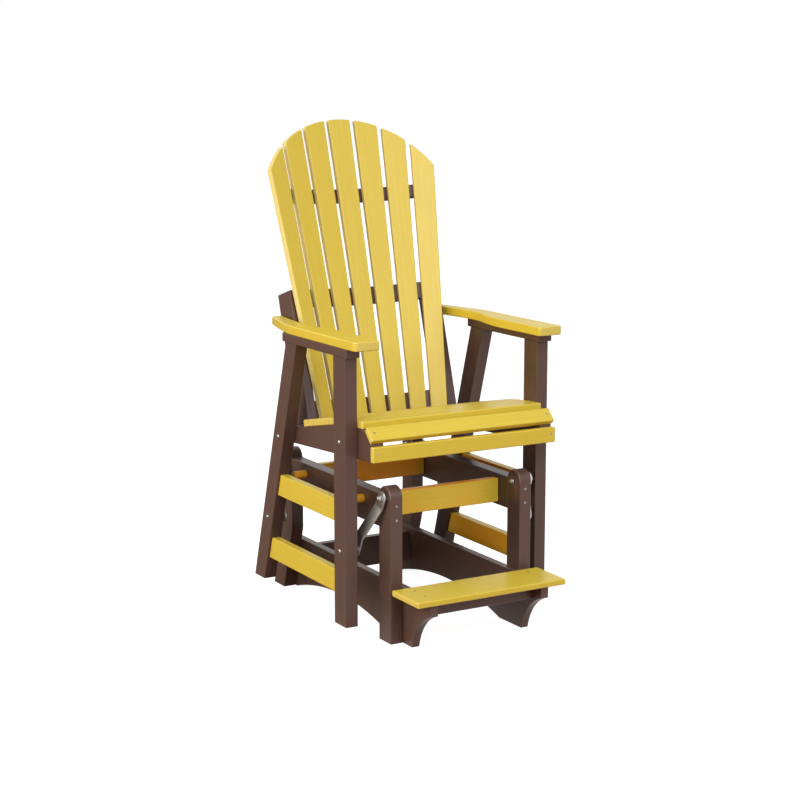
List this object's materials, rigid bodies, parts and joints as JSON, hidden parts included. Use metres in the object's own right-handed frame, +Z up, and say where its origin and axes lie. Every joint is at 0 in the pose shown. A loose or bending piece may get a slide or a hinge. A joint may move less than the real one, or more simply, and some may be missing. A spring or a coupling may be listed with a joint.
{
  "type": "glider armchair",
  "caption": "Glider armchair in two-tone lumber with a fan back of tapered slats, a contoured slatted seat and a footrest; the seat hangs from a fixed base on swing links.",
  "frame": {"origin": "On the floor at the centre of the footprint.", "axes": "+X is the sitter's left, across the chair, -Y is the way the chair faces and +Z is up."},
  "size_m": [0.668, 0.8959, 1.4092],
  "materials": {
    "yellow_lumber": "yellow plastic lumber with an embossed wood grain",
    "brown_lumber": "dark brown plastic lumber with an embossed wood grain",
    "steel": "stainless steel straps, bolts and nuts"
  },
  "bodies": {
    "base": {"front_post_left": "brown_lumber", "rear_post_left": "brown_lumber", "top_side_rail_left": "brown_lumber", "ground_rail_left": "brown_lumber", "front_pivot_bolt_left": "steel", "rear_pivot_bolt_left": "steel", "front_post_right": "brown_lumber", "rear_post_right": "brown_lumber", "top_side_rail_right": "brown_lumber", "ground_rail_right": "brown_lumber", "front_pivot_bolt_right": "steel", "rear_pivot_bolt_right": "steel", "front_stretcher": "yellow_lumber", "rear_stretcher": "yellow_lumber", "ground_cross_rail": "brown_lumber", "footrest_cross_rail": "brown_lumber", "footrest_board": "yellow_lumber"},
    "front_link_left": {"front_link_left": "steel"},
    "front_link_right": {"front_link_right": "steel"},
    "rear_link_left": {"rear_link_left": "steel"},
    "rear_link_right": {"rear_link_right": "steel"},
    "chair": {"front_leg_left": "brown_lumber", "rear_leg_left": "brown_lumber", "upper_stretcher_left": "yellow_lumber", "lower_stretcher_left": "yellow_lumber", "seat_rail_left": "brown_lumber", "arm_rail_left": "brown_lumber", "armrest_left": "yellow_lumber", "back_upright_left": "brown_lumber", "front_leg_bolt_left": "steel", "rear_leg_bolt_left": "steel", "front_leg_right": "brown_lumber", "rear_leg_right": "brown_lumber", "upper_stretcher_right": "yellow_lumber", "lower_stretcher_right": "yellow_lumber", "seat_rail_right": "brown_lumber", "arm_rail_right": "brown_lumber", "armrest_right": "yellow_lumber", "back_upright_right": "brown_lumber", "front_leg_bolt_right": "steel", "rear_leg_bolt_right": "steel", "seat_apron": "yellow_lumber", "seat_nose_slat": "yellow_lumber", "seat_slat_1": "yellow_lumber", "seat_slat_2": "yellow_lumber", "seat_slat_3": "yellow_lumber", "seat_slat_4": "yellow_lumber", "seat_slat_5": "yellow_lumber", "seat_slat_6": "yellow_lumber", "seat_slat_7": "yellow_lumber", "back_rail_low": "brown_lumber", "back_rail_middle": "brown_lumber", "back_rail_top": "brown_lumber", "back_slat_1": "yellow_lumber", "back_slat_2": "yellow_lumber", "back_slat_3": "yellow_lumber", "back_slat_4": "yellow_lumber", "back_slat_5": "yellow_lumber", "back_slat_6": "yellow_lumber", "back_slat_7": "yellow_lumber"}
  },
  "joints": [
    {"name": "front_link_swing_left", "type": "hinge", "parent": "base", "child": "front_link_left", "pos_m": [-0.2391, -0.2514, 0.4082], "axis": [1, 0, 0], "range_deg": [-12, 12]},
    {"name": "rear_link_swing_left", "type": "hinge", "parent": "base", "child": "rear_link_left", "pos_m": [-0.2391, 0.348, 0.4082], "axis": [1, 0, 0], "range_deg": [-12, 12]},
    {"name": "front_link_swing_right", "type": "hinge", "parent": "base", "child": "front_link_right", "pos_m": [0.2391, -0.2514, 0.4082], "axis": [1, 0, 0], "range_deg": [-12, 12]},
    {"name": "rear_link_swing_right", "type": "hinge", "parent": "base", "child": "rear_link_right", "pos_m": [0.2391, 0.348, 0.4082], "axis": [1, 0, 0], "range_deg": [-12, 12]},
    {"name": "chair_tilt", "type": "hinge", "parent": "front_link_left", "child": "chair", "pos_m": [-0.2781, -0.1789, 0.2548], "axis": [1, 0, 0], "range_deg": [-15.31, 15.31]}
  ],
  "couplings": [
    {"joint": "front_link_swing_right", "follows": "front_link_swing_left", "ratio": 1},
    {"joint": "rear_link_swing_left", "follows": "front_link_swing_left", "ratio": 1},
    {"joint": "rear_link_swing_right", "follows": "front_link_swing_left", "ratio": 1},
    {"joint": "chair_tilt", "follows": "front_link_swing_left", "ratio": -1.2733}
  ]
}
